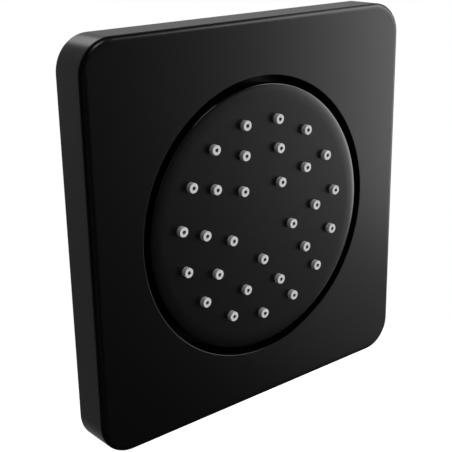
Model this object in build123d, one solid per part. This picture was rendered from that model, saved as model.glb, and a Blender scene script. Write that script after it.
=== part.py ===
from build123d import *
import os
from math import cos, radians, sin, sqrt

# Shower body jet: a square cover plate on the wall, and in its round well a spray head that tilts
# and turns on a ball joint. Millimetres. X is right, Y goes into the wall, Z is up. The wall's
# surface is the plane Y = 0, the inlet lies along the Y axis and the front of the jet faces -Y.

# Cover plate
PLATE_SIDE = 120.0
PLATE_DEPTH = 12.5
PLATE_CORNER = 10.0
PLATE_EDGE = 1.8
SIDE_WALL = 2.2
FRONT_WALL = 2.0
WELL_GAP = 2.5
WELL_WALL = 1.6
WELL_EDGE = 0.2
RIB_WALL = 1.4
RIB_FIRST = 45.0
GASKET_WIDTH = 1.1
GASKET_DEPTH = 0.7

# Mounting plate and its screws
MOUNT_SHEET = 1.2
MOUNT_RIM_GAP = 1.8
MOUNT_CORNER = 8.0
BEND_RADIUS = 0.6
TAB_WIDTH = 18.0
TAB_HEIGHT = 7.5
TAB_RELIEF = 1.5
RELIEF_DEPTH = 4.0
CATCH_WIDTH = 8.0
CATCH_HEIGHT = 0.9
CATCH_LENGTH = 1.7
CATCH_SETBACK = 5.6
WALL_SCREW_SPACING = 86.0
WALL_SCREW_RADIUS = 2.0
WALL_SCREW_REACH = 25.0
WALL_SCREW_HEAD = 4.0
WALL_SCREW_HEAD_HEIGHT = 2.6
WALL_SCREW_HEAD_TOP = 2.4
WALL_SCREW_HEAD_RIM = 0.9
WALL_SCREW_SLOT = 0.8
WALL_SCREW_POINT = 4.0
QUARTER_TURN_ANGLES = (0, 90, 180, 270)

# Spray head
HEAD_RADIUS = 41.0
HEAD_PROUD = 0.12
CROWN_WIDTH = 4.0
CROWN_DROP = 0.25
HEAD_EDGE = 0.2
FACE_WALL = 1.5
SKIRT_DEPTH = 4.5
SKIRT_WALL = 1.6
MAT_THICKNESS = 1.0
MAT_BEAD_WIDTH = 1.0
MAT_BEAD_HEIGHT = 0.5
MAT_BEAD_INSET = 0.4
BACK_WALL = 1.6
BACK_DEPTH = 6.8
BACK_FLAT_RADIUS = 20.0
BACK_FLANGE = 1.4
BACK_RIB_WALL = 1.4
BACK_RIB_INNER = 13.0
BACK_RIB_COUNT = 5
BACK_RIB_FIRST = 90.0
BOSS_RADIUS = 2.3
BOSS_MERGE = 0.1
HEAD_SCREW_COUNT = 5
HEAD_SCREW_FIRST = 270.0
HEAD_SCREW_RADIUS = 1.0
HEAD_SCREW_HEAD = 1.8
HEAD_SCREW_HEAD_HEIGHT = 1.1
HEAD_SCREW_HEAD_TOP = 1.3
HEAD_SCREW_HEAD_RIM = 0.5
HEAD_SCREW_SLOT = 0.4
HEAD_SCREW_BITE = 1.4

# Nozzles: radius of each ring, its count, and the direction of its first nozzle in degrees
NOZZLE_RING_RADII = (12.77, 22.17, 30.73)
NOZZLE_RING_COUNTS = (5, 10, 15)
NOZZLE_RING_FIRST = (270.0, 288.0, 270.0)
NOZZLE_RADIUS = 1.5
NOZZLE_PROUD = 1.5
NOZZLE_EDGE = 0.15
ORIFICE_RADIUS = 0.55
NOZZLE_INLET_RADIUS = 1.1
NOZZLE_INLET_DEPTH = 1.4

# Ball joint
BALL_RADIUS = 10.0
BALL_SETBACK = 18.0
BALL_FLAT = 8.6
BALL_BORE = 3.6
BALL_MOUTH = 5.0
SEAT_WALL = 1.5
SEAT_SPLIT = 2.4
REAR_SEAT_LENGTH = 5.2
FRONT_SEAT_LENGTH = 3.4
BALL_ORING_SECTION = 1.2
BALL_ORING_ANGLE = 52.0
NECK_RADIUS = 5.9
STEM_THREAD_RADIUS = 6.58
STEM_THREAD_LENGTH = 2.8
STEM_RELIEF = 0.6
INSERT_RADIUS = 8.2
INSERT_PROUD = 1.6
INSERT_LIP = 0.8
INSERT_FLANGE = 0.6
INSERT_FLANGE_RADIUS = 9.6
INSERT_PASSAGE = 4.4
BOSS_WALL = 2.8
STEM_ORING_SECTION = 0.7
STEM_ORING_RADIUS = 5.6

# Socket, gland nut and inlet
SOCKET_LIP = 2.5
SOCKET_WALL = 3.0
BARREL_LENGTH = 8.5
COLLAR_LENGTH = 7.0
COLLAR_FLATS = 32.0
COLLAR_FACE_RADIUS = 15.6
COLLAR_BEVEL = 1.4
SOCKET_PASSAGE = 5.2
NUT_WALL = 2.1
NUT_LENGTH = 9.0
NUT_FLANGE = 1.2
NUT_FLANGE_WIDTH = 2.0
NUT_BEVEL = 0.5
NUT_NOTCHES = 6
NUT_NOTCH_WIDTH = 3.2
NUT_NOTCH_DEPTH = 1.6
STEM_RADIUS = 10.48
STEM_LENGTH = 15.0
STEM_BORE = 7.0
STEM_CHAMFER = 0.8
STEM_UNDERCUT = 0.8
SEAL_THICKNESS = 2.0
SEAL_RADIUS = 15.0
LIMITER_LENGTH = 5.0
LIMITER_FLOOR = 1.8
LIMITER_POST = 2.6
LIMITER_RING_SECTION = 0.9
LIMITER_WALL = 1.4
LIMITER_HOLES = 6
LIMITER_HOLE = 0.8
STRAINER_LENGTH = 1.6
STRAINER_RIM = 1.1
STRAINER_SHEET = 0.4
STRAINER_HOLE = 0.55
STRAINER_PITCH = 1.9
STRAINER_SPOKES = 6

# Clearances
BALL_PLAY = 0.15
THREAD_PLAY = 0.1
PRESS_PLAY = 0.03
NOZZLE_PLAY = 0.06
SCREW_PLAY = 0.15
WALL_SCREW_PLAY = 1.2
PLATE_PLAY = 0.4
FLANGE_PLAY = 0.3
CATCH_PLAY = 0.2
RIB_PLAY = 0.8

# Depths that follow from the sizes above
WALL_Y = 0.0
FRONT_Y = WALL_Y - PLATE_DEPTH
FRONT_INNER_Y = FRONT_Y + FRONT_WALL
MOUNT_Y = WALL_Y - MOUNT_SHEET
FACE_Y = FRONT_Y - HEAD_PROUD
FACE_INNER_Y = FACE_Y + FACE_WALL
MAT_Y = FACE_INNER_Y + MAT_THICKNESS
FLANGE_Y = MAT_Y + BACK_FLANGE
SKIRT_Y = FACE_Y + SKIRT_DEPTH
BACK_Y = FACE_Y + BACK_DEPTH
CHAMBER_Y = BACK_Y - BACK_WALL
TIP_Y = FACE_Y - NOZZLE_PROUD
BALL_Y = FACE_Y + BALL_SETBACK
LIP_Y = BALL_Y - SOCKET_LIP
BARREL_Y = LIP_Y + BARREL_LENGTH
COLLAR_Y = BARREL_Y + COLLAR_LENGTH
SEAL_Y = COLLAR_Y + SEAL_THICKNESS
STEM_Y = COLLAR_Y + STEM_LENGTH
NUT_FRONT_Y = MOUNT_Y - NUT_FLANGE
NUT_Y = NUT_FRONT_Y + NUT_LENGTH
INSERT_Y = BACK_Y + INSERT_PROUD
STEM_END_Y = INSERT_Y - STEM_THREAD_LENGTH
INSERT_SHOULDER_Y = STEM_END_Y - 2 * STEM_ORING_SECTION
INSERT_END_Y = INSERT_SHOULDER_Y - INSERT_LIP
INSERT_BOSS_Y = INSERT_END_Y + INSERT_FLANGE
LIMITER_Y = COLLAR_Y - PRESS_PLAY
STRAINER_Y = LIMITER_Y + LIMITER_LENGTH

# Radii that follow from the sizes above
INNER_SIDE = PLATE_SIDE - 2 * SIDE_WALL
INNER_CORNER = PLATE_CORNER - SIDE_WALL
WELL_RADIUS = HEAD_RADIUS + WELL_GAP
WELL_OUTER = WELL_RADIUS + WELL_WALL
SKIRT_INNER = HEAD_RADIUS - SKIRT_WALL
FLANGE_RADIUS = SKIRT_INNER - FLANGE_PLAY
HEAD_SCREW_CIRCLE = SKIRT_INNER - BOSS_RADIUS + BOSS_MERGE
MAT_RADIUS = HEAD_SCREW_CIRCLE - BOSS_RADIUS - BOSS_MERGE
MAT_BEAD_OUTER = MAT_RADIUS - MAT_BEAD_INSET
MAT_BEAD_INNER = MAT_BEAD_OUTER - MAT_BEAD_WIDTH
SEAT_INNER = BALL_RADIUS + BALL_PLAY
SEAT_OUTER = SEAT_INNER + SEAT_WALL
SOCKET_RADIUS = SEAT_OUTER + BALL_PLAY
BARREL_RADIUS = SOCKET_RADIUS + SOCKET_WALL
NUT_BORE = BARREL_RADIUS + THREAD_PLAY
NUT_RADIUS = NUT_BORE + NUT_WALL
NUT_FLANGE_RADIUS = NUT_RADIUS + NUT_FLANGE_WIDTH
MOUNT_BORE = NUT_RADIUS + PLATE_PLAY
SEAL_BORE = STEM_RADIUS - STEM_UNDERCUT + THREAD_PLAY
INSERT_BORE = STEM_THREAD_RADIUS + PRESS_PLAY
BOSS_OUTER = INSERT_RADIUS + BOSS_WALL
LIMITER_RADIUS = STEM_BORE - PRESS_PLAY
BALL_ORING_REACH = SEAT_INNER + BALL_ORING_SECTION
BALL_ORING_RADIUS = BALL_ORING_REACH * cos(radians(BALL_ORING_ANGLE))
BALL_ORING_Y = BALL_Y + BALL_ORING_REACH * sin(radians(BALL_ORING_ANGLE))


def turned(*points):
    """Solid turned about the inlet axis from its (radius, y) corners."""
    return revolve(make_face(Polyline(*points, close=True)), axis=Axis.Y)


def rod(radius, y_from, y_to):
    """Cylinder on the inlet axis between two depths."""
    middle = (y_from + y_to) / 2
    return Pos(0, middle, 0) * Rot(90, 0, 0) * Cylinder(radius, abs(y_to - y_from))


def tube(outer, inner, y_from, y_to):
    """Ring on the inlet axis between two depths."""
    return rod(outer, y_from, y_to) - rod(inner, y_from, y_to)


def slab(side, corner, y_back, y_front):
    """Square with rounded corners between two depths."""
    outline = Plane.XZ.offset(-y_back) * RectangleRounded(side, side, corner)
    return extrude(outline, amount=y_back - y_front)


def hexagon(flats, y_back, y_front):
    """Hexagonal prism on the inlet axis between two depths."""
    outline = Plane.XZ.offset(-y_back) * RegularPolygon(flats / 2, 6, major_radius=False)
    return extrude(outline, amount=y_back - y_front)


def ball(radius):
    """Sphere about the joint's centre."""
    return Pos(0, BALL_Y, 0) * Rot(90, 0, 0) * Sphere(radius)


def ring(radius, section, y):
    """Round-section ring about the inlet axis."""
    return Pos(0, y, 0) * Rot(90, 0, 0) * Torus(radius, section)


def circle_points(radius, count, first):
    """Places (x, z) spaced evenly on a circle about the inlet axis."""
    turns = [radians(first + 360 * step / count) for step in range(count)]
    return [(radius * cos(turn), radius * sin(turn)) for turn in turns]


def at(points, piece):
    """Copies of a piece that stands on the inlet axis, one at each (x, z) place."""
    return [Pos(x, 0, z) * piece for x, z in points]


def spoke(inner, outer, wall, y_back, y_front, angle):
    """Radial rib between two radii, at an angle from X towards Z."""
    size = (outer - inner, y_back - y_front, wall)
    middle = Pos((inner + outer) / 2, (y_back + y_front) / 2, 0)
    return Rot(0, -angle, 0) * middle * Box(*size)


def square_points(spacing):
    """The four corners (x, z) of a square about the inlet axis."""
    half = spacing / 2
    return [(x, z) for x in (-half, half) for z in (-half, half)]


def nozzle_points():
    """The place (x, z) of every nozzle."""
    places = []
    for radius, count, first in zip(NOZZLE_RING_RADII, NOZZLE_RING_COUNTS, NOZZLE_RING_FIRST):
        places += circle_points(radius, count, first)
    return places


def cover_plate():
    """Square cast cover: front, four sides, a round well and the catches for the tabs."""
    body = slab(PLATE_SIDE, PLATE_CORNER, WALL_Y, FRONT_Y)
    body = fillet(body.faces().sort_by(Axis.Y)[0].edges(), PLATE_EDGE)
    body -= slab(INNER_SIDE, INNER_CORNER, WALL_Y, FRONT_INNER_Y)
    body += rod(WELL_OUTER, FRONT_INNER_Y, MOUNT_Y - PLATE_PLAY)
    corner_reach = INNER_SIDE / sqrt(2) - INNER_CORNER * (sqrt(2) - 1) + SIDE_WALL / 2
    rib_back = MOUNT_Y - WALL_SCREW_HEAD_HEIGHT - RIB_PLAY
    for turn in QUARTER_TURN_ANGLES:
        body += spoke(WELL_RADIUS, corner_reach, RIB_WALL, rib_back, FRONT_INNER_Y, RIB_FIRST + turn)
    body -= rod(WELL_RADIUS, WALL_Y, FRONT_Y)
    body += [Rot(0, turn, 0) * cover_catch() for turn in QUARTER_TURN_ANGLES]
    body -= gasket_ring(GASKET_WIDTH)
    front_arcs = body.edges().filter_by(GeomType.CIRCLE).group_by(Axis.Y)[0]
    return fillet(front_arcs.sort_by(SortBy.RADIUS)[-1], WELL_EDGE)


def cover_catch():
    """Wedge inside the right side of the cover: flat in front, sloping back to the wall."""
    side = INNER_SIDE / 2
    front = WALL_Y - CATCH_SETBACK
    outline = Polyline(
        (side, front),
        (side - CATCH_HEIGHT, front),
        (side, front + CATCH_LENGTH),
        close=True,
    )
    return extrude(make_face(outline), amount=CATCH_WIDTH / 2, both=True)


def gasket_ring(width):
    """Square ring in the middle of the cover's back rim."""
    middle = PLATE_SIDE - SIDE_WALL
    corner = PLATE_CORNER - SIDE_WALL / 2
    outside = slab(middle + width, corner + width / 2, WALL_Y, WALL_Y - GASKET_DEPTH)
    inside = slab(middle - width, corner - width / 2, WALL_Y, WALL_Y - GASKET_DEPTH)
    return outside - inside


def rim_gasket():
    """Rubber cord in the groove of the cover's back rim."""
    return gasket_ring(GASKET_WIDTH - 2 * PRESS_PLAY)


def mounting_plate():
    """Folded sheet against the wall: wide screw holes, and a sprung tab amid each side."""
    side = INNER_SIDE - 2 * MOUNT_RIM_GAP
    sheet = slab(side, MOUNT_CORNER, WALL_Y, MOUNT_Y)
    relief_centre = (TAB_WIDTH + TAB_RELIEF) / 2
    relief = Box(2 * RELIEF_DEPTH, 2 * MOUNT_SHEET, TAB_RELIEF)
    for turn in QUARTER_TURN_ANGLES:
        place = Rot(0, turn, 0)
        sheet -= place * Pos(side / 2, MOUNT_Y, relief_centre) * relief
        sheet -= place * Pos(side / 2, MOUNT_Y, -relief_centre) * relief
        sheet += place * mounting_tab(side / 2 - RELIEF_DEPTH)
    sheet -= rod(MOUNT_BORE, WALL_Y, MOUNT_Y)
    hole = rod(WALL_SCREW_RADIUS + WALL_SCREW_PLAY, WALL_Y, MOUNT_Y)
    return sheet - at(square_points(WALL_SCREW_SPACING), hole)


def mounting_tab(start):
    """Tab on the right side, bent forwards against the cover, with a window for the catch."""
    end = INNER_SIDE / 2
    outline = Polyline(
        (start, WALL_Y),
        (end, WALL_Y),
        (end, WALL_Y - TAB_HEIGHT),
        (end - MOUNT_SHEET, WALL_Y - TAB_HEIGHT),
        (end - MOUNT_SHEET, MOUNT_Y),
        (start, MOUNT_Y),
        close=True,
    )
    tab = extrude(make_face(outline), amount=TAB_WIDTH / 2, both=True)
    upright = tab.edges().filter_by(Axis.Z)
    outer_bend = upright.sort_by_distance((end, WALL_Y, 0))[0]
    tab = fillet(outer_bend, BEND_RADIUS + MOUNT_SHEET)
    upright = tab.edges().filter_by(Axis.Z)
    inner_bend = upright.sort_by_distance((end - MOUNT_SHEET, MOUNT_Y, 0))[0]
    tab = fillet(inner_bend, BEND_RADIUS)
    window_y = WALL_Y - CATCH_SETBACK + CATCH_LENGTH / 2
    sizes = (MOUNT_SHEET, CATCH_LENGTH / 2, CATCH_WIDTH / 2)
    window = Box(*[2 * (size + CATCH_PLAY) for size in sizes])
    return tab - Pos(end, window_y, 0) * window


def wall_screws():
    """Four pan head screws through the corners of the mounting plate."""
    top = MOUNT_Y - WALL_SCREW_HEAD_HEIGHT
    screw = turned(
        (0, top),
        (WALL_SCREW_HEAD_TOP, top),
        (WALL_SCREW_HEAD, MOUNT_Y - WALL_SCREW_HEAD_RIM),
        (WALL_SCREW_HEAD, MOUNT_Y),
        (WALL_SCREW_RADIUS, MOUNT_Y),
        (WALL_SCREW_RADIUS, WALL_SCREW_REACH - WALL_SCREW_POINT),
        (0, WALL_SCREW_REACH),
    )
    slot = (WALL_SCREW_HEAD, WALL_SCREW_HEAD_HEIGHT, WALL_SCREW_SLOT)
    screw -= Pos(0, top, 0) * Box(*slot)
    screw -= Pos(0, top, 0) * Box(*reversed(slot))
    return at(square_points(WALL_SCREW_SPACING), screw)


def spray_face():
    """Front shell of the head: flat face with a crowned edge, a skirt and the nozzle holes."""
    crown_start = (HEAD_RADIUS - CROWN_WIDTH, FACE_Y)
    crown_end = (HEAD_RADIUS, FACE_Y + CROWN_DROP)
    outline = [
        Line((0, FACE_Y), crown_start),
        TangentArc(crown_start, crown_end, tangent=(1, 0)),
        Polyline(
            crown_end,
            (HEAD_RADIUS, SKIRT_Y),
            (SKIRT_INNER, SKIRT_Y),
            (SKIRT_INNER, FACE_INNER_Y),
            (0, FACE_INNER_Y),
            (0, FACE_Y),
        ),
    ]
    face = revolve(make_face(outline), axis=Axis.Y)
    rim = face.edges().filter_by(GeomType.CIRCLE).sort_by(SortBy.RADIUS)[-2:].sort_by(Axis.Y)[0]
    face = fillet(rim, HEAD_EDGE)
    boss = rod(BOSS_RADIUS, FACE_INNER_Y, MAT_Y)
    face += at(head_screw_points(), boss)
    pilot = rod(HEAD_SCREW_RADIUS + PRESS_PLAY, MAT_Y, MAT_Y - HEAD_SCREW_BITE - SCREW_PLAY)
    face -= at(head_screw_points(), pilot)
    face -= mat_bead(PRESS_PLAY)
    return face - at(nozzle_points(), rod(NOZZLE_RADIUS + NOZZLE_PLAY, FACE_Y, FACE_INNER_Y))


def mat_bead(play):
    """Sealing bead on the front of the mat, grown by some play for its groove."""
    outer = MAT_BEAD_OUTER + play
    inner = MAT_BEAD_INNER - play
    return tube(outer, inner, FACE_INNER_Y, FACE_INNER_Y - MAT_BEAD_HEIGHT - play)


def nozzle_mat():
    """One silicone moulding: a sheet with a sealing bead and all the nozzles."""
    mat = rod(MAT_RADIUS, FACE_INNER_Y, MAT_Y) + mat_bead(0)
    nozzle = rod(NOZZLE_RADIUS, MAT_Y, TIP_Y)
    nozzle = fillet(nozzle.edges().filter_by(GeomType.CIRCLE).sort_by(Axis.Y)[0], NOZZLE_EDGE)
    passage = turned(
        (0, MAT_Y),
        (NOZZLE_INLET_RADIUS, MAT_Y),
        (ORIFICE_RADIUS, MAT_Y - NOZZLE_INLET_DEPTH),
        (ORIFICE_RADIUS, TIP_Y),
        (0, TIP_Y),
    )
    mat += at(nozzle_points(), nozzle)
    return mat - at(nozzle_points(), passage)


def head_screw_points():
    """Places (x, z) of the head screws, between the ribs of the rear shell."""
    return circle_points(HEAD_SCREW_CIRCLE, HEAD_SCREW_COUNT, HEAD_SCREW_FIRST)


def head_back():
    """Rear shell of the head: flange, cone, boss for the insert and ribs that press on the mat."""
    seat_inner = MAT_BEAD_INNER
    envelope = turned(
        (0, BACK_Y),
        (BACK_FLAT_RADIUS, BACK_Y),
        (seat_inner, FLANGE_Y),
        (FLANGE_RADIUS, FLANGE_Y),
        (FLANGE_RADIUS, MAT_Y),
        (0, MAT_Y),
    )
    chamber = turned(
        (0, CHAMBER_Y),
        (BACK_FLAT_RADIUS, CHAMBER_Y),
        (seat_inner, MAT_Y),
        (0, MAT_Y),
    )
    shell = envelope - chamber
    shell += rod(BOSS_OUTER, CHAMBER_Y, INSERT_BOSS_Y)
    for step in range(BACK_RIB_COUNT):
        angle = BACK_RIB_FIRST + 360 * step / BACK_RIB_COUNT
        rib = spoke(BACK_RIB_INNER, seat_inner, BACK_RIB_WALL, BACK_Y, MAT_Y, angle)
        shell += rib & envelope
    shell -= rod(INSERT_RADIUS + PRESS_PLAY, BACK_Y, INSERT_BOSS_Y)
    hole = rod(HEAD_SCREW_RADIUS + SCREW_PLAY, FLANGE_Y, MAT_Y)
    return shell - at(head_screw_points(), hole)


def head_screws():
    """Short screws through the rear shell's flange into the bosses of the face."""
    back = FLANGE_Y + HEAD_SCREW_HEAD_HEIGHT
    screw = turned(
        (0, back),
        (HEAD_SCREW_HEAD_TOP, back),
        (HEAD_SCREW_HEAD, FLANGE_Y + HEAD_SCREW_HEAD_RIM),
        (HEAD_SCREW_HEAD, FLANGE_Y),
        (HEAD_SCREW_RADIUS, FLANGE_Y),
        (HEAD_SCREW_RADIUS, MAT_Y - HEAD_SCREW_BITE),
        (0, MAT_Y - HEAD_SCREW_BITE),
    )
    slot = (HEAD_SCREW_HEAD, HEAD_SCREW_HEAD_HEIGHT, HEAD_SCREW_SLOT)
    screw -= Pos(0, back, 0) * Box(*slot)
    screw -= Pos(0, back, 0) * Box(*reversed(slot))
    return at(head_screw_points(), screw)


def stem_insert():
    """Threaded brass insert in the rear shell, with a lip that the stem's ring seals on."""
    insert = rod(INSERT_RADIUS, INSERT_Y, INSERT_END_Y)
    insert += rod(INSERT_FLANGE_RADIUS, INSERT_BOSS_Y, INSERT_END_Y)
    insert -= rod(INSERT_BORE, INSERT_Y, INSERT_SHOULDER_Y)
    return insert - rod(INSERT_PASSAGE, INSERT_Y, INSERT_END_Y)


def stem_oring():
    """Ring between the end of the stem and the lip of the insert."""
    return ring(STEM_ORING_RADIUS, STEM_ORING_SECTION, STEM_END_Y - STEM_ORING_SECTION)


def ball_stem():
    """Bored ball with a neck and a threaded end."""
    stem = ball(BALL_RADIUS) - rod(BALL_RADIUS, BALL_Y + BALL_FLAT, BALL_Y + 2 * BALL_RADIUS)
    stem += rod(NECK_RADIUS, BALL_Y, STEM_END_Y)
    stem += rod(STEM_THREAD_RADIUS, INSERT_Y + STEM_RELIEF, STEM_END_Y)
    mouth = turned(
        (0, BALL_Y + BALL_FLAT),
        (BALL_MOUTH, BALL_Y + BALL_FLAT),
        (BALL_BORE, BALL_Y + BALL_FLAT - (BALL_MOUTH - BALL_BORE)),
        (0, BALL_Y + BALL_FLAT - (BALL_MOUTH - BALL_BORE)),
    )
    return stem - rod(BALL_BORE, BALL_Y + BALL_FLAT, STEM_END_Y) - mouth


def ball_seat(y_from, y_to):
    """Plastic liner round the ball between two depths, a sphere inside and out."""
    liner = ball(SEAT_OUTER) - ball(SEAT_INNER)
    return liner & rod(SEAT_OUTER, y_from, y_to)


def rear_ball_seat():
    """Liner behind the ball's middle."""
    start = BALL_Y + SEAT_SPLIT / 2
    return ball_seat(start, start + REAR_SEAT_LENGTH)


def front_ball_seat():
    """Liner ahead of the ball's middle."""
    start = BALL_Y - SEAT_SPLIT / 2
    return ball_seat(start - FRONT_SEAT_LENGTH, start)


def ball_oring():
    """Ring that seals the back of the ball, in a pocket of the socket."""
    return ring(BALL_ORING_RADIUS, BALL_ORING_SECTION, BALL_ORING_Y)


def inlet_body():
    """Brass socket for the ball, with a hexagon collar and the male stem behind it."""
    body = rod(BARREL_RADIUS, LIP_Y, BARREL_Y)
    body += hexagon_collar()
    body += turned(
        (0, COLLAR_Y),
        (STEM_RADIUS - STEM_UNDERCUT, COLLAR_Y),
        (STEM_RADIUS - STEM_UNDERCUT, SEAL_Y),
        (STEM_RADIUS, SEAL_Y),
        (STEM_RADIUS, STEM_Y - STEM_CHAMFER),
        (STEM_RADIUS - STEM_CHAMFER, STEM_Y),
        (0, STEM_Y),
    )
    pocket_radius = BALL_ORING_RADIUS + BALL_ORING_SECTION + PRESS_PLAY
    pocket_y = BALL_ORING_Y + BALL_ORING_SECTION + PRESS_PLAY
    body -= ball(SOCKET_RADIUS)
    body -= rod(SOCKET_RADIUS, LIP_Y, BALL_Y)
    body -= rod(pocket_radius, BALL_Y, pocket_y)
    body -= rod(SOCKET_PASSAGE, BALL_Y, STEM_Y)
    return body - rod(STEM_BORE, LIMITER_Y, STEM_Y)


def hexagon_collar():
    """Hexagon for the spanner, its corners bevelled at both ends."""
    corner = COLLAR_FLATS / sqrt(3)
    envelope = turned(
        (0, BARREL_Y),
        (COLLAR_FACE_RADIUS, BARREL_Y),
        (corner, BARREL_Y + COLLAR_BEVEL),
        (corner, COLLAR_Y - COLLAR_BEVEL),
        (COLLAR_FACE_RADIUS, COLLAR_Y),
        (0, COLLAR_Y),
    )
    return hexagon(COLLAR_FLATS, COLLAR_Y, BARREL_Y) & envelope


def gland_nut():
    """Ring nut that closes the socket: its flange clamps the mounting plate to the wall."""
    nut = rod(NUT_RADIUS, NUT_Y, NUT_FRONT_Y)
    nut += rod(NUT_FLANGE_RADIUS, MOUNT_Y, NUT_FRONT_Y)
    rear_rim = nut.edges().filter_by(GeomType.CIRCLE).sort_by(Axis.Y)[-1]
    nut = chamfer(rear_rim, NUT_BEVEL)
    nut -= rod(NUT_BORE, NUT_Y, LIP_Y)
    nut -= ball(SOCKET_RADIUS)
    notch = Box(2 * NUT_NOTCH_DEPTH, 2 * NUT_FLANGE, NUT_NOTCH_WIDTH)
    for step in range(NUT_NOTCHES):
        turn = Rot(0, 360 * step / NUT_NOTCHES, 0)
        nut -= turn * Pos(NUT_FLANGE_RADIUS, NUT_FRONT_Y + NUT_FLANGE / 2, 0) * notch
    return nut


def inlet_seal():
    """Flat washer behind the collar, in the undercut ahead of the stem's thread."""
    return tube(SEAL_RADIUS, SEAL_BORE, COLLAR_Y, SEAL_Y)


def flow_limiter():
    """Regulator cup in the stem's bore: a centre post and holes under the elastic ring."""
    cup = rod(LIMITER_RADIUS, LIMITER_Y, STRAINER_Y)
    floor_y = LIMITER_Y + LIMITER_FLOOR
    cup -= tube(LIMITER_RADIUS - LIMITER_WALL, LIMITER_POST, floor_y, STRAINER_Y)
    hole = rod(LIMITER_HOLE, LIMITER_Y, floor_y)
    pitch = LIMITER_POST + LIMITER_RING_SECTION
    return cup - at(circle_points(pitch, LIMITER_HOLES, 0.0), hole)


def limiter_ring():
    """Elastic ring round the regulator's post."""
    radius = LIMITER_POST + LIMITER_RING_SECTION + PRESS_PLAY
    return ring(radius, LIMITER_RING_SECTION, LIMITER_Y + LIMITER_FLOOR + LIMITER_RING_SECTION)


def strainer():
    """Perforated disc in a rim, behind the regulator."""
    disc = rod(LIMITER_RADIUS, STRAINER_Y, STRAINER_Y + STRAINER_LENGTH)
    sheet_y = STRAINER_Y + STRAINER_SHEET
    opening = LIMITER_RADIUS - STRAINER_RIM
    disc -= rod(opening, sheet_y, STRAINER_Y + STRAINER_LENGTH)
    places = [(0.0, 0.0)]
    rows = int((opening - STRAINER_HOLE) / STRAINER_PITCH)
    for row in range(1, rows + 1):
        places += circle_points(row * STRAINER_PITCH, STRAINER_SPOKES * row, 0.0)
    return disc - at(places, rod(STRAINER_HOLE, STRAINER_Y, sheet_y))


NODES = {
    "cover_plate": cover_plate,
    "rim_gasket": rim_gasket,
    "mounting_plate": mounting_plate,
    "wall_screws": wall_screws,
    "inlet_body": inlet_body,
    "inlet_seal": inlet_seal,
    "flow_limiter": flow_limiter,
    "limiter_ring": limiter_ring,
    "strainer": strainer,
    "gland_nut": gland_nut,
    "ball_oring": ball_oring,
    "rear_ball_seat": rear_ball_seat,
    "front_ball_seat": front_ball_seat,
    "ball_stem": ball_stem,
    "stem_oring": stem_oring,
    "stem_insert": stem_insert,
    "head_back": head_back,
    "nozzle_mat": nozzle_mat,
    "spray_face": spray_face,
    "head_screws": head_screws,
}

os.makedirs("parts", exist_ok=True)
for name, make in NODES.items():
    piece = make()
    group = piece if isinstance(piece, list) else piece.solids()
    export_step(Compound(children=group), f"parts/{name}.step")
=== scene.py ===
from math import ceil, cos, pi, radians, sin, sqrt, tau

import bmesh
import bpy
from mathutils import Matrix, Quaternion, Vector


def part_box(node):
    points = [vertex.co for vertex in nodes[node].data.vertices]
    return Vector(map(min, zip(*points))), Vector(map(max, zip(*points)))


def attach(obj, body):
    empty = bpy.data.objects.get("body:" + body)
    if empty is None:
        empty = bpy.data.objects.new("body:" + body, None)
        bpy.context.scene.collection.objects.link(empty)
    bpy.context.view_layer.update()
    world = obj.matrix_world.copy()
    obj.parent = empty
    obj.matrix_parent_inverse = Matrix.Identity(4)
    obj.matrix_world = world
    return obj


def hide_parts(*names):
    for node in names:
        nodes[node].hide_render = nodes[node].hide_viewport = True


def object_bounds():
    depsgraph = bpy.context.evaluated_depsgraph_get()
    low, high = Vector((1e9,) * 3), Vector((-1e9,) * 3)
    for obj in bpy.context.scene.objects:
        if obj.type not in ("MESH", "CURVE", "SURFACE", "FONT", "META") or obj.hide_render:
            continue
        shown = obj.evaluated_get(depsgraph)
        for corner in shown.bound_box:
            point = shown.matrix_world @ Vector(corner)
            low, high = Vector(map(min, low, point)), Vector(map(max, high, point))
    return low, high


# Looks of the shower body jet: finishes, cut threads, studio light and the camera. Metres. X is right,
# Y goes into the wall and Z is up; the wall's surface is the plane Y = 0 and the front faces -Y.

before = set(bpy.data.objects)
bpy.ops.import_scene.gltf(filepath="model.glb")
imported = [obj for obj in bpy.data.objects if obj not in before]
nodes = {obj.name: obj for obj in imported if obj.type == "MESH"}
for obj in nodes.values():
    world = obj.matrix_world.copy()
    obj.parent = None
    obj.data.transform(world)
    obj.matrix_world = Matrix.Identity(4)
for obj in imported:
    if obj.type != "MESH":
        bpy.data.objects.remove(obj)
cad_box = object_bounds()
MM = 0.001

# Camera
CAMERA_PLACE = Vector((-0.1892, -0.2252, 0.0943))
CAMERA_AIM = Vector((-0.0032, 0.0005, -0.0048))
CAMERA_ROLL = radians(-1.05)
CAMERA_LENS = 78.66
CAMERA_CLIP = 0.01

# Floor
FLOOR_DROP = 0.25
FLOOR_RADIUS = 0.6
FLOOR_GREY = 0.8
FLOOR_ROUGHNESS = 0.9
FLOOR_GLOW = 0.75

# Distance of the lights, and the world's strengths; the edges are the Y of a direction into the world
LIGHT_REACH = 1.0
DARK_ROOM = 0.015
BACKDROP = 0.27
BACKDROP_RISE = 0.22
BACKDROP_EDGE = (0.54, 0.6)
WHITE_EDGE = (0.88, 0.97)

# Part of a pattern's range over which a finish goes from one value to the other
PATTERN_LOW = 0.3
PATTERN_HIGH = 0.7

# Satin black cover and head, with the well that loses its gloss and the rim that is polished
SATIN_DARK = 0.0018
SATIN_LIGHT = 0.0022
COVER_GLOSS = 0.5
FACE_Y = -12.5 * MM
WELL_RADIUS = 43.5 * MM
WELL_EDGE = 0.2 * MM
HEAD_GLOSS = 0.33
RIM_START = 38.0 * MM
RIM_END = 41.0 * MM
RIM_POWER = 3.0
RIM_ROUGHNESS = 0.1
RIM_GLOSS = 1.0

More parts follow.
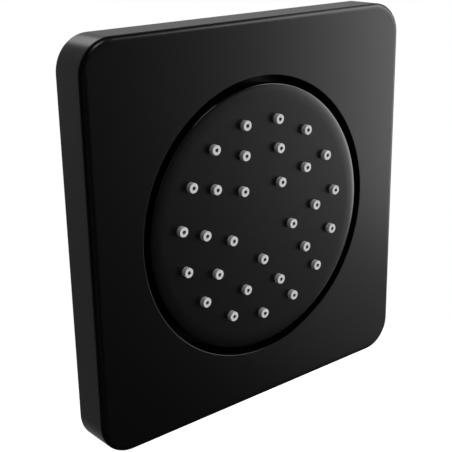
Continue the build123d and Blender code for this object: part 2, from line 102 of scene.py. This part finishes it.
# Silicone nozzles; each ring has a radius, a number of nozzles and the angle of one of them in degrees
TIP_Y = -14.12 * MM
TIP_EDGE = 0.15 * MM
# Painted light and shade: the same silicone is paler on the nozzle tips, darker on their sides and darker
# still in the bores
TIP_PAINTED_LIGHT_GREY = 0.71
SIDE_PAINTED_SHADE_GREY = 0.5
BORE_SHADE = 0.3
ORIFICE = 0.56 * MM
ORIFICE_EDGE = 0.6 * MM
NOZZLE_RINGS = ((12.77 * MM, 5, 270), (22.17 * MM, 10, 288), (30.73 * MM, 15, 270))

# Steel, and the black painted shade on the mounting plate's side towards the head, seen through the gap
# round the head
STEEL_LIGHT = (0.64, 0.64, 0.63, 1)
SHEET_DARK = (0.5, 0.5, 0.49, 1)
SHEET_START = 0.25
PAINTED_SHADE_GREY = 0.006
PAINTED_SHADE_Y = -0.7 * MM
PAINTED_SHADE_EDGE = 0.1 * MM

# Inlet: ball socket, spanner collar and the stem with its pipe thread
SOCKET_RADIUS = 11.8 * MM
BALL_Y = 5.38 * MM
BARREL_RADIUS = 14.8 * MM
BARREL_Y = 11.38 * MM
BARREL_THREAD_DEPTH = 0.5 * MM
BARREL_THREAD_PITCH = 1.0 * MM
BARREL_RELIEF = 1.0 * MM
RING_POCKET_RADIUS = 8.22 * MM
RING_POCKET_Y = 15.55 * MM
PASSAGE_RADIUS = 5.2 * MM
BORE_RADIUS = 7.0 * MM
BORE_Y = 18.35 * MM
BORE_EDGE = 0.3 * MM
COLLAR_FLATS = 32.0 * MM
COLLAR_FACE_RADIUS = 15.6 * MM
COLLAR_BEVEL = 1.4 * MM
COLLAR_Y = 18.38 * MM
UNDERCUT_RADIUS = 9.68 * MM
SEAL_Y = 20.38 * MM
STEM_RADIUS = 10.48 * MM
STEM_ROOT = 9.32 * MM
STEM_PITCH = 1.814 * MM
STEM_CHAMFER = 0.8 * MM

# Wall screws; each is turned by its own angle in degrees
SCREW_SPACING = 86.0 * MM
SCREW_RADIUS = 2.0 * MM
SCREW_ROOT = 1.4 * MM
SCREW_PITCH = 1.6 * MM
SCREW_POINT = 4.0 * MM
SCREW_HEAD = 4.0 * MM
SCREW_HEAD_RIM = 0.9 * MM
SCREW_HEAD_Y = -1.2 * MM
RECESS_REACH = 2.2 * MM
RECESS_WIDTH = 0.9 * MM
RECESS_DEPTH = 1.6 * MM
RECESS_TAPER = 0.45
SCREW_TURNS = (12, 41, 68, 25)

# Mesh fineness, and the share of a thread's flank that is flat at its root and at its crest
ROUND_STEPS = 96
SCREW_STEPS = 40
THREAD_ROWS = 20
THREAD_FLAT = 0.18
ARC_STEPS = 16
SHARP_ANGLE = radians(32)


def grey(value):
    """Opaque grey colour."""
    return (value, value, value, 1)


def feed(tree, socket, value):
    """Puts a number, a colour or another node's output on a socket."""
    if isinstance(value, bpy.types.NodeSocket):
        tree.links.new(value, socket)
    else:
        socket.default_value = value


def new_node(tree, kind, **values):
    """Node of a material or world, with the values put on its named inputs."""
    node = tree.nodes.new(kind)
    for name, value in values.items():
        feed(tree, node.inputs[name.replace("_", " ")], value)
    return node


def calculate(tree, operation, *values):
    """Sum, product or other operation on values that are numbers or other nodes' outputs."""
    node = new_node(tree, "ShaderNodeMath")
    node.operation = operation
    for socket, value in zip(node.inputs, values):
        feed(tree, socket, value)
    return node.outputs["Value"]


def follow(tree, value, start=0.0, end=1.0, low=0.0, high=1.0, eased=False):
    """Value that goes from low to high while another one goes from start to end."""
    node = new_node(
        tree, "ShaderNodeMapRange", Value=value, From_Min=start, From_Max=end, To_Min=low, To_Max=high
    )
    if eased:
        node.interpolation_type = "SMOOTHSTEP"
    return node.outputs["Result"]


def place(tree):
    """Place on the piece, in the part's own frame."""
    return new_node(tree, "ShaderNodeTexCoord").outputs["Object"]


def axes(tree, vector):
    """Parts of a vector along X, Y and Z."""
    return new_node(tree, "ShaderNodeSeparateXYZ", Vector=vector).outputs


def length(tree, vector):
    """Length of a vector."""
    node = new_node(tree, "ShaderNodeVectorMath")
    node.operation = "LENGTH"
    feed(tree, node.inputs[0], vector)
    return node.outputs["Value"]


def along_y(tree, start, end):
    """Grey value that goes from 0 to 1 between two places along Y."""
    return follow(tree, axes(tree, place(tree))["Y"], start, end)


def axis_distance(tree):
    """Distance from the inlet axis."""
    flat = new_node(tree, "ShaderNodeMapping", Vector=place(tree), Scale=(1, 0, 1))
    return length(tree, flat.outputs["Vector"])


def inside_well(tree):
    """Grey value that is 1 on the well's wall and floor, and 0 elsewhere."""
    within = follow(tree, axis_distance(tree), WELL_RADIUS + WELL_EDGE / 2, WELL_RADIUS)
    deep = along_y(tree, FACE_Y + WELL_EDGE / 2, FACE_Y + WELL_EDGE)
    return calculate(tree, "MULTIPLY", within, deep)


def nozzle_distance(tree):
    """Distance in the plane of the face to the axis of the nearest nozzle."""
    parts = axes(tree, place(tree))
    reach = axis_distance(tree)
    turn = calculate(tree, "ARCTAN2", parts["Z"], parts["X"])
    nearest = None
    for radius, count, first in NOZZLE_RINGS:
        aside = calculate(tree, "PINGPONG", calculate(tree, "SUBTRACT", turn, radians(first)), pi / count)
        across = calculate(tree, "MULTIPLY", aside, radius)
        outwards = calculate(tree, "SUBTRACT", reach, radius)
        offset = new_node(tree, "ShaderNodeCombineXYZ", X=across, Y=outwards)
        distance = length(tree, offset.outputs["Vector"])
        nearest = distance if nearest is None else calculate(tree, "MINIMUM", nearest, distance)
    return nearest


def noise(tree, scale, detail=3.0, stretch=(1, 1, 1)):
    """Noise over the place on the piece, stretched along the axes; its grey value is the output."""
    mapping = new_node(tree, "ShaderNodeMapping", Vector=place(tree), Scale=stretch)
    grain = new_node(
        tree, "ShaderNodeTexNoise", Vector=mapping.outputs["Vector"], Scale=scale, Detail=detail
    )
    return grain.outputs["Fac"]


def brushing(tree):
    """Long scratches along X."""
    return noise(tree, scale=40, detail=8.0, stretch=(1, 60, 60))


def turning_marks(tree, scale):
    """Fine rings along the inlet axis, as a lathe leaves them."""
    rings = new_node(
        tree,
        "ShaderNodeTexWave",
        Vector=place(tree),
        Scale=scale,
        Distortion=1.5,
        Detail=2.0,
        Detail_Scale=4.0,
    )
    rings.wave_type = "BANDS"
    rings.bands_direction = "Y"
    return rings.outputs["Fac"]


def principled(name, **constants):
    """Material with one Principled shader, and the constants set on the shader's own sockets."""
    material = bpy.data.materials.new(name)
    material.use_nodes = True
    tree = material.node_tree
    shader = tree.nodes["Principled BSDF"]
    for socket, value in constants.items():
        shader.inputs[socket.replace("_", " ")].default_value = value
    return material, tree, shader


def patterned(tree, grain, low, high):
    """Value that follows a grey pattern between two values."""
    return follow(tree, grain, PATTERN_LOW, PATTERN_HIGH, low, high)


def vary_roughness(tree, shader, grain, low, high):
    """Roughness that follows a grey pattern between two values."""
    feed(tree, shader.inputs["Roughness"], patterned(tree, grain, low, high))


def vary_color(tree, shader, grain, dark, light):
    """Colour that follows a grey pattern between two colours."""
    ramp = new_node(tree, "ShaderNodeValToRGB", Fac=grain)
    first, last = ramp.color_ramp.elements
    first.position = PATTERN_LOW
    first.color = dark
    last.position = PATTERN_HIGH
    last.color = light
    feed(tree, shader.inputs["Base Color"], ramp.outputs["Color"])


def bump(tree, shader, grain, strength, height):
    """Fine relief from a grey pattern."""
    relief = new_node(tree, "ShaderNodeBump", Height=grain, Strength=strength, Distance=height)
    feed(tree, shader.inputs["Normal"], relief.outputs["Normal"])


def satin_black(name, cloud, strength):
    """Black material with a faint flow in its colour and a very fine grain."""
    material, tree, shader = principled(name)
    vary_color(tree, shader, noise(tree, scale=cloud), dark=grey(SATIN_DARK), light=grey(SATIN_LIGHT))
    bump(tree, shader, noise(tree, scale=9000, detail=2.0), strength, height=0.02 * MM)
    return material, tree, shader


def satin_black_metal():
    """Satin black lacquer on the cast cover, without gloss inside the well."""
    material, tree, shader = satin_black("satin_black_coating", cloud=60, strength=0.02)
    vary_roughness(tree, shader, noise(tree, scale=350), low=0.264, high=0.272)
    gloss = follow(tree, inside_well(tree), low=COVER_GLOSS, high=0.0)
    feed(tree, shader.inputs["Specular IOR Level"], gloss)
    return material


def satin_black_plastic():
    """Satin black moulding of the spray face, polished towards its rim."""
    material, tree, shader = satin_black("satin_black_moulding", cloud=90, strength=0.025)
    rim = follow(tree, axis_distance(tree), RIM_START, RIM_END)
    polish = calculate(tree, "POWER", rim, RIM_POWER)
    satin = patterned(tree, noise(tree, scale=500), low=0.334, high=0.346)
    feed(tree, shader.inputs["Roughness"], follow(tree, polish, low=satin, high=RIM_ROUGHNESS))
    gloss = follow(tree, polish, low=HEAD_GLOSS, high=RIM_GLOSS)
    feed(tree, shader.inputs["Specular IOR Level"], gloss)
    return material


def black_plastic():
    """Matt black moulding with a spark-eroded grain."""
    material, tree, shader = principled("matt_black_moulding")
    vary_color(tree, shader, noise(tree, scale=150), dark=grey(0.006), light=grey(0.011))
    vary_roughness(tree, shader, noise(tree, scale=900), low=0.42, high=0.58)
    bump(tree, shader, noise(tree, scale=4200), strength=0.35, height=0.04 * MM)
    return material


def grey_silicone():
    """Light grey silicone: matt, slightly clouded, with painted light on the nozzle tips and painted shade
    on their sides and in the bores.
    """
    material, tree, shader = principled("light_grey_silicone")
    side = along_y(tree, TIP_Y + TIP_EDGE / 2, TIP_Y + TIP_EDGE)
    # painted light on the tips and painted shade on the sides of one silicone
    tip = follow(tree, side, low=TIP_PAINTED_LIGHT_GREY, high=SIDE_PAINTED_SHADE_GREY)
    # painted shade inside each nozzle's bore
    bore = follow(tree, nozzle_distance(tree), ORIFICE, ORIFICE_EDGE, low=BORE_SHADE)
    cloud = patterned(tree, noise(tree, scale=700), low=0.95, high=1.05)
    painted_light_with_cloud = calculate(tree, "MULTIPLY", tip, cloud)
    feed(tree, shader.inputs["Base Color"], calculate(tree, "MULTIPLY", painted_light_with_cloud, bore))
    vary_roughness(tree, shader, noise(tree, scale=1500), low=0.48, high=0.62)
    bump(tree, shader, noise(tree, scale=5000), strength=0.1, height=0.03 * MM)
    return material


def black_rubber():
    """Black sealing rubber with a dusty bloom."""
    material, tree, shader = principled("black_rubber")
    vary_color(tree, shader, noise(tree, scale=400), dark=grey(0.008), light=grey(0.018))
    vary_roughness(tree, shader, noise(tree, scale=1200), low=0.55, high=0.75)
    bump(tree, shader, noise(tree, scale=3000), strength=0.25, height=0.05 * MM)
    return material


def white_plastic():
    """White bearing plastic, a little creamy."""
    material, tree, shader = principled("white_plastic")
    cloud = noise(tree, scale=300)
    vary_color(tree, shader, cloud, dark=(0.7, 0.69, 0.65, 1), light=(0.78, 0.77, 0.74, 1))
    vary_roughness(tree, shader, noise(tree, scale=1000), low=0.32, high=0.44)
    bump(tree, shader, noise(tree, scale=3000), strength=0.1, height=0.03 * MM)
    return material


def brass():
    """Turned brass: lathe marks, and a slightly uneven tarnish."""
    material, tree, shader = principled("turned_brass", Metallic=1.0)
    tarnish = noise(tree, scale=180, detail=5.0)
    vary_color(tree, shader, tarnish, dark=(0.62, 0.42, 0.18, 1), light=(0.78, 0.57, 0.28, 1))
    vary_roughness(tree, shader, noise(tree, scale=500), low=0.22, high=0.36)
    bump(tree, shader, turning_marks(tree, scale=1400), strength=0.12, height=0.04 * MM)
    return material


def chrome():
    """Polished chrome plating with faint wipe marks."""
    material, tree, shader = principled("polished_chrome", Metallic=1.0)
    cloud = noise(tree, scale=120)
    vary_color(tree, shader, cloud, dark=(0.77, 0.77, 0.78, 1), light=(0.83, 0.83, 0.84, 1))
    vary_roughness(tree, shader, noise(tree, scale=250, detail=5.0), low=0.04, high=0.1)
    bump(tree, shader, noise(tree, scale=2000), strength=0.02, height=0.02 * MM)
    return material


def steel():
    """Brushed stainless steel."""
    material, tree, shader = principled("brushed_steel", Metallic=1.0)
    scratches = brushing(tree)
    vary_color(tree, shader, noise(tree, scale=80), dark=(0.55, 0.55, 0.54, 1), light=STEEL_LIGHT)
    vary_roughness(tree, shader, scratches, low=0.22, high=0.4)
    bump(tree, shader, scratches, strength=0.15, height=0.05 * MM)
    return material


def steel_with_painted_shade():
    """Steel sheet of the mounting plate: bare and brushed behind, with black painted shade on the side of
    the head.
    """
    material, tree, shader = principled("steel_with_painted_shade")
    scratches = brushing(tree)
    bare = along_y(tree, PAINTED_SHADE_Y, PAINTED_SHADE_Y + PAINTED_SHADE_EDGE)
    shown = calculate(tree, "MULTIPLY", bare, noise(tree, scale=80))
    tint = new_node(tree, "ShaderNodeValToRGB", Fac=shown)
    first, last = tint.color_ramp.elements
    # painted shade: the side towards the head is black, so that the gap round the head looks dark
    first.color = grey(PAINTED_SHADE_GREY)
    last.position = PATTERN_HIGH
    last.color = STEEL_LIGHT
    tint.color_ramp.elements.new(SHEET_START).color = SHEET_DARK
    feed(tree, shader.inputs["Base Color"], tint.outputs["Color"])
    feed(tree, shader.inputs["Metallic"], bare)
    vary_roughness(tree, shader, scratches, low=0.26, high=0.44)
    bump(tree, shader, scratches, strength=0.12, height=0.05 * MM)
    return material


def in_scene(name, data):
    """Object in the scene with this mesh, light or camera."""
    thing = bpy.data.objects.new(name, data)
    bpy.context.scene.collection.objects.link(thing)
    return thing


def smooth(mesh):
    """Smooth shading that breaks at sharp edges."""
    mesh.shade_smooth()
    mesh.set_sharp_from_angle(angle=SHARP_ANGLE)


def piece_from(name, vertices, faces, material):
    """Mesh object with faces turned outwards, smooth except across sharp edges."""
    mesh = bpy.data.meshes.new(name)
    mesh.from_pydata(vertices, [], faces)
    shaped = bmesh.new()
    shaped.from_mesh(mesh)
    bmesh.ops.recalc_face_normals(shaped, faces=shaped.faces)
    shaped.to_mesh(mesh)
    shaped.free()
    mesh.materials.append(material)
    smooth(mesh)
    return in_scene(name, mesh)


def ring_row(radius, y, steps=ROUND_STEPS):
    """One row of a turned form: the same radius and depth all the way round."""
    return [(radius, y)] * steps


def turned_points(rows):
    """Places of the rows of (radius, y) about the inlet axis."""
    points = []
    for row in rows:
        for step, (radius, y) in enumerate(row):
            turn = tau * step / len(row)
            points.append((radius * cos(turn), y, radius * sin(turn)))
    return points


def row_faces(first, second, steps):
    """Faces between two rows, given the index of each row's first point."""
    faces = []
    for step in range(steps):
        after = (step + 1) % steps
        faces.append((first + step, first + after, second + after, second + step))
    return faces


def thread_rows(y_from, y_to, crest, root, pitch, steps, limit):
    """Rows of a screw thread between two depths; limit(y) is the largest radius there."""
    rows = []
    count = ceil((y_to - y_from) / pitch * THREAD_ROWS)
    for k in range(count + 1):
        y = y_from + (y_to - y_from) * k / count
        row = []
        for step in range(steps):
            wave = 1 - abs(2 * ((y / pitch - step / steps) % 1) - 1)
            ridge = min(max((wave - THREAD_FLAT) / (1 - 2 * THREAD_FLAT), 0), 1)
            row.append((min(root + (crest - root) * ridge, limit(y)), y))
        rows.append(row)
    return rows


def hexagon_radius(step, flats):
    """Distance from the axis to a hexagon's side, at a step round it."""
    turn = (tau * step / ROUND_STEPS) % (pi / 3) - pi / 6
    return flats / 2 / cos(turn)


def collar_rows():
    """Rows of the spanner collar: a hexagon with its corners bevelled at both ends."""
    corner = COLLAR_FLATS / sqrt(3)
    slope = COLLAR_BEVEL / (corner - COLLAR_FACE_RADIUS)
    sides = [hexagon_radius(step, COLLAR_FLATS) for step in range(ROUND_STEPS)]
    front = [(side, BARREL_Y + (side - COLLAR_FACE_RADIUS) * slope) for side in sides]
    back = [(side, COLLAR_Y - (side - COLLAR_FACE_RADIUS) * slope) for side in sides]
    return [ring_row(COLLAR_FACE_RADIUS, BARREL_Y), front, back, ring_row(COLLAR_FACE_RADIUS, COLLAR_Y)]


def threaded_inlet(material):
    """Inlet body with its pipe thread, the gland nut's thread and the bevelled spanner collar."""
    low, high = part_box("inlet_body")
    lip_y, end_y = low.y, high.y
    rows = thread_rows(
        lip_y,
        BARREL_Y - BARREL_RELIEF,
        BARREL_RADIUS,
        BARREL_RADIUS - BARREL_THREAD_DEPTH,
        BARREL_THREAD_PITCH,
        ROUND_STEPS,
        lambda y: BARREL_RADIUS - BARREL_THREAD_DEPTH + y - lip_y,
    )
    rows.append(ring_row(BARREL_RADIUS - BARREL_THREAD_DEPTH, BARREL_Y))
    rows += collar_rows()
    rows += [ring_row(UNDERCUT_RADIUS, COLLAR_Y), ring_row(UNDERCUT_RADIUS, SEAL_Y)]
    rows += thread_rows(
        SEAL_Y,
        end_y,
        STEM_RADIUS,
        STEM_ROOT,
        STEM_PITCH,
        ROUND_STEPS,
        lambda y: STEM_RADIUS - STEM_CHAMFER + end_y - y,
    )
    rows += [
        ring_row(BORE_RADIUS + BORE_EDGE, end_y),
        ring_row(BORE_RADIUS, end_y - BORE_EDGE),
        ring_row(BORE_RADIUS, BORE_Y),
        ring_row(PASSAGE_RADIUS, BORE_Y),
        ring_row(PASSAGE_RADIUS, RING_POCKET_Y),
        ring_row(RING_POCKET_RADIUS, RING_POCKET_Y),
    ]
    for k in range(ARC_STEPS + 1):
        radius = RING_POCKET_RADIUS + (SOCKET_RADIUS - RING_POCKET_RADIUS) * k / ARC_STEPS
        rows.append(ring_row(radius, BALL_Y + sqrt(max(SOCKET_RADIUS**2 - radius**2, 0))))
    rows.append(ring_row(SOCKET_RADIUS, lip_y))
    faces = []
    for k in range(len(rows)):
        faces += row_faces(k * ROUND_STEPS, (k + 1) % len(rows) * ROUND_STEPS, ROUND_STEPS)
    piece = piece_from("threaded_inlet", turned_points(rows), faces, material)
    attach(piece, "wall_fitting")
    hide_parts("inlet_body")


def screw_form(top_y, tip_y, material):
    """One wall screw on the axis: domed head, threaded shank and point."""
    rows = []
    dome = SCREW_HEAD_Y - SCREW_HEAD_RIM - top_y
    for k in range(1, ARC_STEPS + 1):
        turn = pi / 2 * k / ARC_STEPS
        rows.append(ring_row(SCREW_HEAD * sin(turn), top_y + dome * (1 - cos(turn)), SCREW_STEPS))
    rows.append(ring_row(SCREW_HEAD, SCREW_HEAD_Y, SCREW_STEPS))
    slope = SCREW_RADIUS / SCREW_POINT
    rows += thread_rows(
        SCREW_HEAD_Y,
        tip_y - SCREW_PITCH / THREAD_ROWS,
        SCREW_RADIUS,
        SCREW_ROOT,
        SCREW_PITCH,
        SCREW_STEPS,
        lambda y: (tip_y - y) * slope,
    )
    points = turned_points(rows)
    top = len(points)
    tip = top + 1
    points += [(0, top_y, 0), (0, tip_y, 0)]
    faces = []
    for k in range(len(rows) - 1):
        faces += row_faces(k * SCREW_STEPS, (k + 1) * SCREW_STEPS, SCREW_STEPS)
    last = (len(rows) - 1) * SCREW_STEPS
    for step in range(SCREW_STEPS):
        after = (step + 1) % SCREW_STEPS
        faces.append((top, after, step))
        faces.append((tip, last + step, last + after))
    return piece_from("wall_screw_form", points, faces, material)


def cross_cutter(top_y, material):
    """Tapered cross that cuts the driver recess into a screw's head."""
    reach, half = RECESS_REACH, RECESS_WIDTH / 2
    arm = [(reach, -half), (reach, half), (half, half)]
    outline = []
    for quarter in range(4):
        turn = Matrix.Rotation(quarter * pi / 2, 2)
        outline += [turn @ Vector(corner) for corner in arm]
    points = [(x, top_y - RECESS_DEPTH, z) for x, z in outline]
    points += [(x * RECESS_TAPER, top_y + RECESS_DEPTH, z * RECESS_TAPER) for x, z in outline]
    count = len(outline)
    faces = row_faces(0, count, count) + [tuple(range(count)), tuple(range(count, 2 * count))]
    return piece_from("recess_cutter", points, faces, material)


def threaded_wall_screws(material):
    """The four wall screws with their threads and driver recesses, each turned as it was driven."""
    low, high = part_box("wall_screws")
    form = screw_form(low.y, high.y, material)
    cutter = cross_cutter(low.y, material)
    recess = form.modifiers.new("recess", "BOOLEAN")
    recess.operation = "DIFFERENCE"
    recess.solver = "EXACT"
    recess.object = cutter
    cut = bpy.data.meshes.new_from_object(form.evaluated_get(bpy.context.evaluated_depsgraph_get()))
    half = SCREW_SPACING / 2
    places = [(x, z) for x in (-half, half) for z in (-half, half)]
    joined = bmesh.new()
    for (x, z), degrees in zip(places, SCREW_TURNS):
        copy = cut.copy()
        copy.transform(Matrix.Translation((x, 0, z)) @ Matrix.Rotation(radians(degrees), 4, "Y"))
        joined.from_mesh(copy)
        bpy.data.meshes.remove(copy)
    bpy.data.objects.remove(form)
    bpy.data.objects.remove(cutter)
    mesh = bpy.data.meshes.new("threaded_wall_screws")
    joined.to_mesh(mesh)
    joined.free()
    mesh.materials.append(material)
    smooth(mesh)
    piece = in_scene("threaded_wall_screws", mesh)
    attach(piece, "wall_fitting")
    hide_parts("wall_screws")


def floor():
    """Pale round floor below the part: matt, with a glow that whitens it and keeps the part's shadow."""
    z = cad_box[0].z - FLOOR_DROP
    turns = [tau * step / ROUND_STEPS for step in range(ROUND_STEPS)]
    rim = [(FLOOR_RADIUS * cos(turn), FLOOR_RADIUS * sin(turn), z) for turn in turns]
    mesh = bpy.data.meshes.new("floor")
    mesh.from_pydata(rim, [], [tuple(range(ROUND_STEPS))])
    material, tree, shader = principled(
        "pale_floor", Base_Color=grey(FLOOR_GREY), Roughness=FLOOR_ROUGHNESS, Emission_Color=grey(1)
    )
    path = new_node(tree, "ShaderNodeLightPath")
    glow = follow(tree, path.outputs["Is Camera Ray"], high=FLOOR_GLOW)
    feed(tree, shader.inputs["Emission Strength"], glow)
    mesh.materials.append(material)
    piece = in_scene("floor", mesh)
    piece.visible_glossy = False


def background():
    """World that is white to the camera, and straight behind the part to glossy rays as well.

    Other rays meet a pale backdrop behind the part, brighter to the right, and a dark room before it.
    """
    world = bpy.data.worlds.new("studio")
    bpy.context.scene.world = world
    world.use_nodes = True
    tree = world.node_tree
    path = new_node(tree, "ShaderNodeLightPath").outputs
    toward = axes(tree, new_node(tree, "ShaderNodeTexCoord").outputs["Generated"])
    backdrop = calculate(tree, "MULTIPLY_ADD", toward["X"], BACKDROP_RISE, BACKDROP)
    room = follow(tree, toward["Y"], *BACKDROP_EDGE, low=DARK_ROOM, high=backdrop, eased=True)
    mirrored = follow(tree, toward["Y"], *WHITE_EDGE, high=path["Is Glossy Ray"], eased=True)
    direct = calculate(tree, "MAXIMUM", path["Is Camera Ray"], path["Is Transmission Ray"])
    white = calculate(tree, "MAXIMUM", direct, mirrored)
    seen = new_node(tree, "ShaderNodeMix", Factor=white, A=room, B=1.0)
    shade = tree.nodes["Background"]
    feed(tree, shade.inputs["Color"], grey(1))
    feed(tree, shade.inputs["Strength"], seen.outputs["Result"])


def soft_panel(name, azimuth, elevation, width, height, power, mirrored=True):
    """Area light that looks at the part; azimuth 0 is in front, 90 on the right. A fill is not mirrored."""
    light = bpy.data.lights.new(name, "AREA")
    light.shape = "RECTANGLE"
    light.size = width
    light.size_y = height
    light.energy = power
    panel = in_scene(name, light)
    turn, lift = radians(azimuth), radians(elevation)
    away = Vector((sin(turn) * cos(lift), -cos(turn) * cos(lift), sin(lift)))
    panel.location = away * LIGHT_REACH
    panel.rotation_mode = "QUATERNION"
    panel.rotation_quaternion = away.to_track_quat("Z", "Y")
    panel.visible_camera = False
    panel.visible_glossy = mirrored


def camera():
    """Camera at the photograph's viewing angle."""
    data = bpy.data.cameras.new("camera")
    data.lens = CAMERA_LENS
    data.clip_start = CAMERA_CLIP
    eye = in_scene("camera", data)
    eye.location = CAMERA_PLACE
    eye.rotation_mode = "QUATERNION"
    aim = (CAMERA_AIM - CAMERA_PLACE).to_track_quat("-Z", "Y")
    eye.rotation_quaternion = aim @ Quaternion((0, 0, 1), CAMERA_ROLL)
    bpy.context.scene.camera = eye


finishes = {
    "satin_black_metal": satin_black_metal(),
    "satin_black_plastic": satin_black_plastic(),
    "black_plastic": black_plastic(),
    "grey_silicone": grey_silicone(),
    "black_rubber": black_rubber(),
    "white_plastic": white_plastic(),
    "brass": brass(),
    "chrome": chrome(),
    "steel": steel(),
}
for node in nodes.values():
    for slot in node.material_slots:
        slot.material = finishes[slot.material.name]

# The mounting plate gets black painted shade on its side towards the head
nodes["mounting_plate"].material_slots[0].material = steel_with_painted_shade()

threaded_inlet(finishes["brass"])
threaded_wall_screws(finishes["steel"])
floor()
background()
soft_panel("right_softbox", azimuth=65, elevation=14, width=0.56, height=1.3, power=6.6)
soft_panel("right_edge", azimuth=53, elevation=-8, width=0.43, height=0.78, power=0.42)
soft_panel("right_top", azimuth=88, elevation=38, width=0.62, height=0.36, power=0.8)
soft_panel("back_light", azimuth=172, elevation=40, width=0.36, height=0.33, power=0.74)
soft_panel("top_lamp", azimuth=-7, elevation=62, width=0.31, height=0.27, power=1.3)
soft_panel("left_strip", azimuth=-45, elevation=-8, width=0.08, height=0.8, power=0.045)
soft_panel("front_fill", azimuth=-5, elevation=25, width=0.5, height=0.5, power=3.6, mirrored=False)
soft_panel("front_wash", azimuth=0, elevation=9, width=0.42, height=0.42, power=0.1)
camera()
bpy.context.scene.view_settings.view_transform = "Standard"
